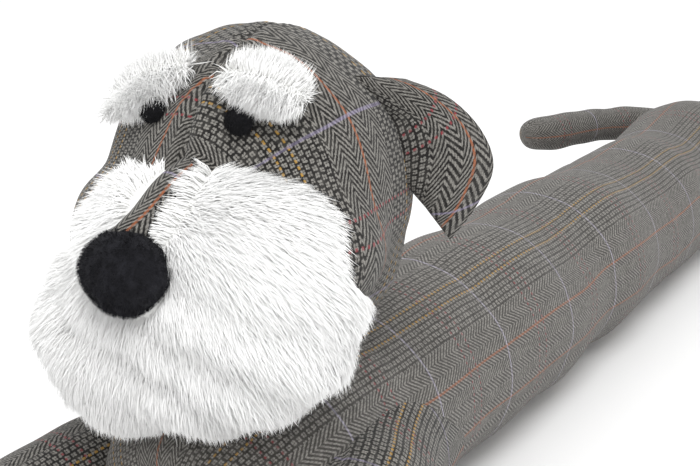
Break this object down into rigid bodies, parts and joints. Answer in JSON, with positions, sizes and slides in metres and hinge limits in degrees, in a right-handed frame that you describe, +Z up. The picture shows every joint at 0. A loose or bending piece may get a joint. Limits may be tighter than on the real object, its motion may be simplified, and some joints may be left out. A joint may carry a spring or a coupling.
{
  "type": "draught excluder",
  "caption": "Long stuffed draught excluder in the shape of a lying dog, tweed with a plush beard and brows.",
  "frame": {"origin": "centre of the bounding box's bottom face, on the floor the object lies on", "axes": "+X towards the tail end and -X towards the head, -Y to the dog's left, +Z up"},
  "size_m": [0.9654, 0.2596, 0.2757],
  "materials": {
    "tweed": "herringbone wool cloth in charcoal and grey with thin rust, gold, lilac and red lines",
    "plush": "white long-pile plush",
    "fleece": "black short-nap fleece",
    "felt": "black felt"
  },
  "bodies": {
    "root": {"beard": "plush", "body": "tweed", "brow_left": "plush", "brow_right": "plush", "ear_left": "tweed", "ear_right": "tweed", "eye_left": "felt", "eye_right": "felt", "foreleg_left": "tweed", "foreleg_right": "tweed", "head": "tweed", "nose": "fleece", "tail": "tweed"}
  },
  "joints": []
}
